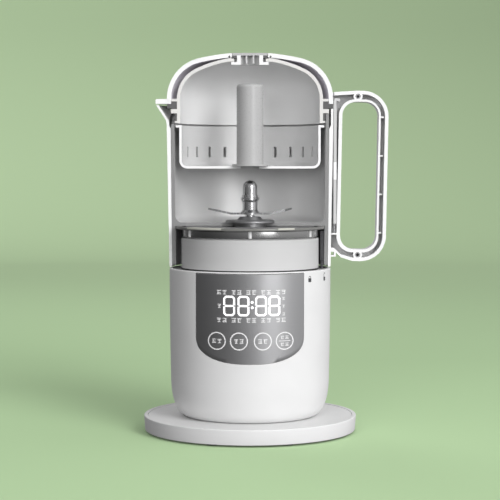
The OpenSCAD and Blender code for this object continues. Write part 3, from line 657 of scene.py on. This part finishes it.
def build_display():
    """The lit digits, the printed signs and keys, and a dark strip over the panel that is painted shadow of a gap.
    """
    shapes = []
    for x in digit_x:
        shapes += digit(x, digit_z, digit_w, digit_h, digit_t)
    shapes += [disc(colon_x, z, colon_r) for z in colon_z]
    print_on_base(shapes, "display_digits", finish["lit"], print_lift["digits"])
    shapes = []
    for row, z in enumerate(label_z):
        for n, x in enumerate(label_x):
            shapes += glyph(x - label_half, z, 3.5, 3.5, n + row) + glyph(x + label_half, z, 3.5, 3.5, n + row + 1)
    shapes += glyph(-25.1, digit_z + 8.2, 3.0, 3.2, 1)
    for n, z in enumerate(side_z):
        shapes += glyph(side_x, z, 2.0, 2.3, n)
    print_on_base(shapes, "display_signs", finish["printed"], print_lift["signs"])
    shapes = []
    for n, x in enumerate(key_x):
        shapes += ring_shapes(x, key_z, key_r, key_r - key_line)
        if x != key_x[-1]:
            shapes += glyph(x - key_half, key_z, 3.2, 3.4, n) + glyph(x + key_half, key_z, 3.2, 3.4, n + 1)
        else:
            shapes += [bar(x, key_z, 9.6, 0.55)]
            for z in (key_z - last_row, key_z + last_row):
                shapes += glyph(x - last_half, z, 2.9, 2.6, n) + glyph(x + last_half, z, 2.9, 2.6, n + 1)
    print_on_base(shapes, "key_rings", finish["printed"], print_lift["keys"])
    # Painted shadow: a dark strip along the panel's top edge, where no gap is cut.
    strip = [bar(0, panel_top + 0.28, 2 * panel_w - 0.6, 0.4)]
    print_on_base(strip, "panel_gap_shadow", finish["gap"], print_lift["gap"])


def build_drum_shadow_strip():
    """A black strip round the drum's foot, behind the base's rim: painted shadow where the rim meets the drum."""
    foot_r = ring_r + 0.4
    profile = soften(rectangle(foot_r - 0.3, base_top - 3, foot_r + 0.25, base_top + 0.5), 0.1)
    place(lathe(profile), "drum_shadow_strip", "base", [finish["gap"]])


lock_signs = (("lock_sign", 46, 0.0), ("unlock_sign", 65, 1.6))  # name, angle from the front, shackle's rise


def build_locks():
    """Two small signs beside the panel: a closed padlock and an open one."""
    z = base_top - 7.3
    for name, turn, raised in lock_signs:
        shapes = [soften(bar(0, z - 0.3, 3.6, 3.2), 0.5)]
        shapes += ring_shapes(0, z + 1.9 + raised, 1.4, 0.85, 0, 180, 16)
        shapes.append(bar(-1.12, z + 1.55 + raised / 2, 0.55, 0.7 + raised))
        if not raised:
            shapes.append(bar(1.12, z + 1.55, 0.55, 0.7))
        print_on_base(shapes, name, finish["sign"], print_lift["locks"], 0.2, turn)


# ---- Lock ring and the jug's base ring ----

rib_r = 1.5
rib_sink = 0.4  # how far the ribs' axes lie inside the ring's face
rib_levels = ((ring_low + 0.2, 0.75), (ring_low + 0.5, 1), (ring_high - 0.5, 1), (ring_high - 0.2, 0.75))
rib_sides = 20
ring_w = 2.6
band_w = 4.8
tab_w, tab_inset, tab_proud, tab_rise = 7, 0.6, 0.15, 0.1
tab_angles = ((214, 34), (291.5, 14), (20, 46), (115, 16))  # where each tab starts and how far it goes, degrees


def build_rings():
    """The polished ring with its ribs, and the jug's base ring with its four tabs."""
    profile = soften(rectangle(ring_r - ring_w, ring_low, ring_r, ring_high), 0.6)
    place(lathe(profile), "ring_band", "lock_ring", [finish["chrome"]], ["lock_ring"])
    bm = bmesh.new()
    for i in range(rib_count):
        a = math.radians(-90 + 360 * i / rib_count)
        centre = Vector((math.cos(a), math.sin(a), 0)) * (ring_r - rib_sink) * MM
        loops = []
        for z, share in rib_levels:
            turns = [2 * math.pi * k / rib_sides for k in range(rib_sides)]
            loops.append([bm.verts.new(centre + Vector((math.cos(b), math.sin(b), 0)) * rib_r * share * MM
                                       + Vector((0, 0, z * MM))) for b in turns])
        bridge(bm, loops, ends=True)
    place(bm, "ring_ribs", "lock_ring", [finish["white"]])
    profile = soften(rectangle(band_r - band_w, band_low, band_r, band_high), 0.4)
    place(lathe(profile), "jug_band", "jug", [finish["band"]], ["pot_base_ring"])
    profile = soften([(band_r - tab_w, band_low), (band_r - tab_inset, band_low),
                      (band_r + tab_proud, band_low + 1), (band_r + tab_proud, band_high + tab_rise),
                      (band_r - tab_w, band_high + tab_rise)], 0.3)
    for n, (first, sweep) in enumerate(tab_angles):
        place(lathe(profile, first, sweep), "jug_band_tab_%d" % (n + 1), "jug", [finish["tab"]])


# ---- Lid ----

lid_wall = 3.6
spout_centre = 15.2 - rim_r
ledge_low, ledge_high = top_z + 0.61 - 7.9, top_z + 0.61 - 5.3
shoulder, crown, crown_z = 35.2, 195, top_z - 195 + 0.61
dome_hole = 15.4
lid_steps = 240
seal_ring = (17.6, top_z - 3, 0.9)  # radius and height of the seal ring's middle, and its thickness in radius
liner_r = -low("lid_gasket").x - 2.15
liner_wall = 2.8
liner_shoulder, liner_crown, liner_crown_z = 28.3, 107.9, flange_z - 67.5
liner_top, liner_foot = flange_z + 4.2, flange_z - 16.5  # ends of its outside and its inside
vent_tube = (13.5, 16, 19)  # radii of the ledge's bore, its neck and its foot
cover_steps = 40
cover_search = 400


def dome(wall_r, shoulder_r, crown_r, centre_z, bottom, inner_x):
    """A dome's outline from its opening down to its foot: a crown arc, a shoulder arc and a wall."""
    sx = wall_r - shoulder_r
    sz = centre_z + math.sqrt((crown_r - shoulder_r) ** 2 - sx ** 2)
    joint = math.degrees(math.atan2(sz - centre_z, sx))
    start = math.degrees(math.acos(inner_x / crown_r))
    points = arc(0, centre_z, crown_r, start, joint, 24)
    points += arc(sx, sz, shoulder_r, joint, 0, 40)[1:]
    return points + [(wall_r, bottom)]


def build_dome():
    """The lid's outer dome, and the seal ring between it and the vent."""
    outer = dome(lid_r, shoulder, crown, crown_z, flange_z, dome_hole)
    inner = dome(lid_r - lid_wall, shoulder - lid_wall, crown - lid_wall, crown_z, flange_z, dome_hole)
    # The dome's cut faces carry the painted highlight, and its inward faces the painted fill light.
    place(lathe(outer + list(reversed(inner)), 0, 180, lid_steps), "lid_dome", "lid",
          [finish["white"], finish["cut"], finish["hollow"]], ["lid_outer"])
    place(lathe(arc(*seal_ring, 0, 345, 23), -0.2, 180.4), "vent_seal_ring", "lid", [finish["seal"]])


def build_liner():
    """The inner dome, from the ledge round its vent down to the grooves for gasket and rim seal."""
    r, t = liner_r, liner_wall
    bore, neck, tube_foot = vent_tube
    outer = dome(r, liner_shoulder, liner_crown, liner_crown_z, liner_top, neck)
    inner = dome(r - t, liner_shoulder - t, liner_crown - t, liner_crown_z, liner_foot, tube_foot)
    foot = [(lid_r - lid_wall - 0.2, liner_top), (lid_r - lid_wall - 0.2, flange_z + 2.1), (r, flange_z + 2.1),
            (r, flange_z - 4.5), (rim_r - 3.6, flange_z - 4.5), (rim_r - 3.6, flange_z - 8), (r, flange_z - 8),
            (r, flange_z - 14.6), (r + 1.9, flange_z - 14.6), (r + 1.9, flange_z - 16.2), (r, flange_z - 16.2),
            (r - 0.3, liner_foot)]
    ledge = [(tube_foot, ledge_low), (bore, ledge_low), (bore, ledge_high), (neck, ledge_high)]
    outline = outer + foot + list(reversed(inner)) + ledge
    # The liner's outside and inward faces take the lighter painted-light tones.
    place(lathe(outline, 0, 180, lid_steps), "lid_liner", "lid",
          [finish["liner_out"], finish["liner_cut"], finish["liner_in"]], ["lid_inner"])


def build_spout_cover():
    """The lid's cover over the spout: strips from the dome's wall out to a circle about the spout's own axis."""
    centre = spout_centre
    reach = spout_out + centre
    wall_r = lid_r - lid_wall / 2
    end = math.pi / 2
    for i in range(cover_search):
        a = math.pi - math.pi * i / cover_search
        if math.hypot(centre + reach * math.cos(a), reach * math.sin(a)) < wall_r + 0.3:
            end = a
            break
    bm = bmesh.new()
    loops = []
    for i in range(cover_steps + 1):
        a = math.pi + (end - math.pi) * i / cover_steps
        way = Vector((math.cos(a), math.sin(a)))
        b = centre * way.x
        inner_r = -b + math.sqrt(b * b - centre * centre + wall_r * wall_r)
        section = soften([(inner_r, flange_z, 0), (reach - 0.4, flange_z, 0.3), (reach, flange_z + 0.4, 0.3),
                          (reach, flange_z + 3.4, 0.5), (reach - 0.6, flange_z + 4.1, 0.5),
                          (inner_r, flange_z + 4.1, 0)], 0.2)
        loops.append([bm.verts.new(Vector((centre + q * way.x, q * way.y, z)) * MM) for q, z in section])
    bridge(bm, loops, ends=True)
    place(bm, "spout_cover", "lid", [finish["white"], finish["cut"]])


build_plate()
build_housing()
build_panel()
build_display()
build_drum_shadow_strip()
build_locks()
build_rings()
build_dome()
build_liner()
build_spout_cover()


# ---- Stage, light and camera ----

PAINT_NEAR = ((0.535, 0.735, 0.43), (0.545, 0.745, 0.438))
PAINT_FAR = (0.76, 1.0, 0.61)
PAINT_FADE = (0.5, 2.6)  # metres along Y from the near paint to the far one
LAMP_SPREAD = 75  # degrees


def stage_material():
    """Pale green paint, lighter towards the back of the stage."""
    material, nodes, link, shader = new_material("stage_paint")
    coords = nodes.new("ShaderNodeTexCoord")
    broad = noise(nodes, link, coords.outputs["Object"], 1.5, 2)
    fine = noise(nodes, link, coords.outputs["Object"], 400, 2)
    fade = map_range(nodes, link, axes(nodes, link, coords.outputs["Object"])["Y"], PAINT_FADE, (0, 1))
    link(mix(nodes, link, fade, mix(nodes, link, broad, *PAINT_NEAR), PAINT_FAR), shader.inputs["Base Color"])
    link(map_range(nodes, link, fine, NOISE_RANGE, (0.85, 0.95)), shader.inputs["Roughness"])
    shader.inputs["Specular IOR Level"].default_value = 0.1
    return material


def add_stage():
    """A round floor that curves up into a low wall."""
    floor_r, cove, wall_top, steps = 2400, 600, 1300, 128
    profile = [(0, 0), (floor_r * 0.4, 0), (floor_r, 0)]
    profile += [(floor_r + cove * math.sin(a), cove - cove * math.cos(a))
                for a in (math.pi / 2 * i / 24 for i in range(1, 25))]
    profile.append((floor_r + cove, wall_top))
    bm = bmesh.new()
    rings = []
    for r, z in profile:
        if r == 0:
            rings.append([bm.verts.new((0, 0, 0))] * steps)
        else:
            rings.append([bm.verts.new((r * MM * math.cos(2 * math.pi * i / steps),
                                        r * MM * math.sin(2 * math.pi * i / steps), z * MM))
                          for i in range(steps)])
    for a, b in zip(rings, rings[1:]):
        for i in range(steps):
            corner = [a[i], b[i], b[(i + 1) % steps], a[(i + 1) % steps]]
            bm.faces.new([v for k, v in enumerate(corner) if v not in corner[:k]])
    mesh = bpy.data.meshes.new("stage_floor")
    bm.to_mesh(mesh)
    bm.free()
    mesh.shade_smooth()
    stage = bpy.data.objects.new("stage_floor", mesh)
    bpy.context.scene.collection.objects.link(stage)
    mesh.materials.append(stage_material())
    stage.visible_diffuse = False
    stage.visible_glossy = False


def add_area(name, spot, target, size, watts, mirrored=True):
    """A rectangular light; mirrored says whether it shows in polished surfaces."""
    light = bpy.data.lights.new(name, "AREA")
    light.shape = "RECTANGLE"
    light.size, light.size_y = size
    light.energy = watts
    light.spread = math.radians(LAMP_SPREAD)
    lamp = bpy.data.objects.new(name, light)
    bpy.context.scene.collection.objects.link(lamp)
    lamp.location = spot
    lamp.visible_glossy = mirrored
    lamp.rotation_euler = (Vector(target) - Vector(spot)).to_track_quat("-Z", "Y").to_euler()


def set_world():
    """Soft light from all round, brighter from the right than from the left, and weak from below."""
    world = bpy.data.worlds.new("studio")
    bpy.context.scene.world = world
    world.use_nodes = True
    nodes, link = world.node_tree.nodes, world.node_tree.links.new
    coords = nodes.new("ShaderNodeTexCoord")
    direction = axes(nodes, link, coords.outputs["Generated"])
    sideways = map_range(nodes, link, direction["X"], (-1, 1), (0.1, 0.72))
    upwards = map_range(nodes, link, direction["Z"], (-0.35, 0.05), (0.4, 1.08))
    background = nodes["Background"]
    background.inputs["Color"].default_value = (1, 1, 1, 1)
    link(math_node(nodes, link, "MULTIPLY", sideways, upwards), background.inputs["Strength"])


add_stage()
set_world()
add_area("key", (1.9, -2.3, 2.1), (0, 0, 0.15), (1.6, 1.6), 8.6, mirrored=False)
add_area("strip", (1.25, -2.15, 0.9), (0, 0, 0.12), (1.05, 1.5), 5)
add_area("front", (-0.6, -2.35, 0.7), (0, 0, 0.2), (1.2, 0.8), 2.8, mirrored=False)
add_area("back", (-1.1, 1.9, 1.3), (0, 0, 0.15), (1.0, 1.0), 1.4, mirrored=False)

camera_spot = (0, -1.37, 0.226)
camera_aim = (0, 0, 0.1554)
camera_data = bpy.data.cameras.new("camera")
camera = bpy.data.objects.new("camera", camera_data)
bpy.context.scene.collection.objects.link(camera)
camera.location = camera_spot
camera.rotation_euler = (Vector(camera_aim) - camera.location).to_track_quat("-Z", "Y").to_euler()
camera_data.sensor_width = 36
camera_data.lens = 115
bpy.context.scene.camera = camera
bpy.context.scene.view_settings.view_transform = "Standard"
